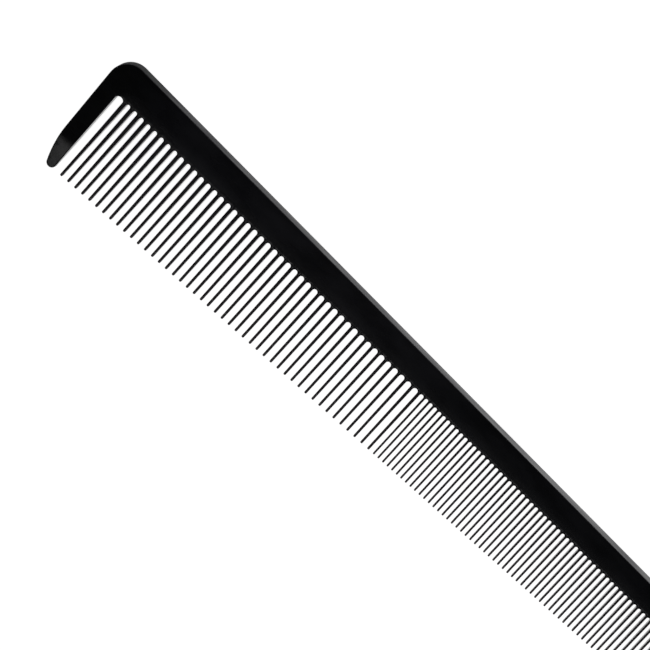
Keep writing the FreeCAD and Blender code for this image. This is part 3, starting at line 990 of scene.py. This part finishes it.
def make_floor():
    """A large square just below the comb."""
    bm = bmesh.new()
    corners = [(-1, -1), (1, -1), (1, 1), (-1, 1)]
    level = CAD_LOW.z - FLOOR_DROP
    bm.faces.new([bm.verts.new((FLOOR_HALF * x, FLOOR_HALF * y, level)) for x, y in corners])
    mesh = bpy.data.meshes.new("floor")
    bm.to_mesh(mesh)
    bm.free()
    floor = bpy.data.objects.new("floor", mesh)
    bpy.context.scene.collection.objects.link(floor)
    dress(floor, pale_floor())


def make_world():
    """A studio that is pale round the horizon and dark overhead."""
    world = bpy.data.worlds.new("studio")
    bpy.context.scene.world = world
    world.use_nodes = True
    nodes, links = world.node_tree.nodes, world.node_tree.links
    coordinates = add(nodes, "ShaderNodeTexCoord")
    split = add(nodes, "ShaderNodeSeparateXYZ")
    links.new(coordinates.outputs["Generated"], split.inputs["Vector"])
    sky = ramp(nodes, links, split.outputs["Z"], SKY)
    links.new(sky.outputs["Color"], nodes["Background"].inputs["Color"])


def soft_light(name, place, size, watts):
    """A square area light that faces the middle of the comb. Place and size are in metres."""
    data = bpy.data.lights.new(name, "AREA")
    data.shape = "SQUARE"
    data.size = size
    data.energy = watts
    lamp = bpy.data.objects.new(name, data)
    lamp.location = place
    lamp.rotation_euler = (-Vector(place)).to_track_quat("-Z", "Y").to_euler()
    bpy.context.scene.collection.objects.link(lamp)


def make_lights():
    """A small light over the teeth's side, and a larger one beyond the tail on the back edge's side."""
    soft_light("key", place=(-0.1, -1.05, 1.35), size=0.5, watts=2.0)
    soft_light("fill", place=(1.6, 1.0, 1.1), size=1.0, watts=3.0)


# Camera: where it aims, in millimetres of the head's drawing, its distance in metres, how it is held, and
# its lens in millimetres
AIM = (54.62, -8.27)
CAMERA_DISTANCE = 1.0
CAMERA_TILT = math.radians(11.28)
CAMERA_SIDE = math.radians(0.14)
CAMERA_TURN = math.radians(45.317)
CAMERA_LENS = 335.6


def make_camera():
    """Above the comb, a little to the back edge's side, turned so that the back runs down to the right."""
    data = bpy.data.cameras.new("camera")
    data.lens = CAMERA_LENS
    data.sensor_width = 36.0
    data.clip_start = 0.01
    data.clip_end = 100.0
    camera = bpy.data.objects.new("camera", data)
    side, tilt = math.sin(CAMERA_SIDE), math.sin(CAMERA_TILT)
    towards = Vector((side, tilt, math.sqrt(1 - side * side - tilt * tilt)))
    along = (Vector((1, 0, 0)) - towards * side).normalized()
    across = towards.cross(along)
    right = along * math.cos(CAMERA_TURN) + across * math.sin(CAMERA_TURN)
    up = across * math.cos(CAMERA_TURN) - along * math.sin(CAMERA_TURN)
    place = to_frame(AIM[0], AIM[1], HALF_THICKNESS) + towards * CAMERA_DISTANCE
    camera.matrix_world = Matrix((
        (right.x, up.x, towards.x, place.x),
        (right.y, up.y, towards.y, place.y),
        (right.z, up.z, towards.z, place.z),
        (0, 0, 0, 1),
    ))
    bpy.context.scene.collection.objects.link(camera)
    bpy.context.scene.camera = camera


# ---------------------------------------------------------------- build

make_camera()
make_floor()
make_world()
make_lights()

head = make_head()
dress(head, head_plastic())
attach(head, "root")
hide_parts("spine", "front_guard_tooth", "coarse_teeth", "fine_teeth", "heel_guard_tooth")

ferrule = make_ferrule()
ferrule_steel = ground_steel(
    "ferrule_steel", (0.62, 0.62, 0.63), roughness=0.16, ring_scale=16000, ring_strength=0.25)
dress(ferrule, ferrule_steel)
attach(ferrule, "root")
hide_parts("neck_ferrule")

tail = make_tail()
tail_steel = ground_steel(
    "tail_steel", (0.56, 0.56, 0.57), roughness=0.22, ring_scale=12000, ring_strength=0.35)
dress(tail, tail_steel)
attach(tail, "root")
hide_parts("tail_pin")

view_settings = bpy.context.scene.view_settings
view_settings.view_transform = "Standard"
view_settings.look = "None"
view_settings.exposure = 0.0
view_settings.gamma = 1.0
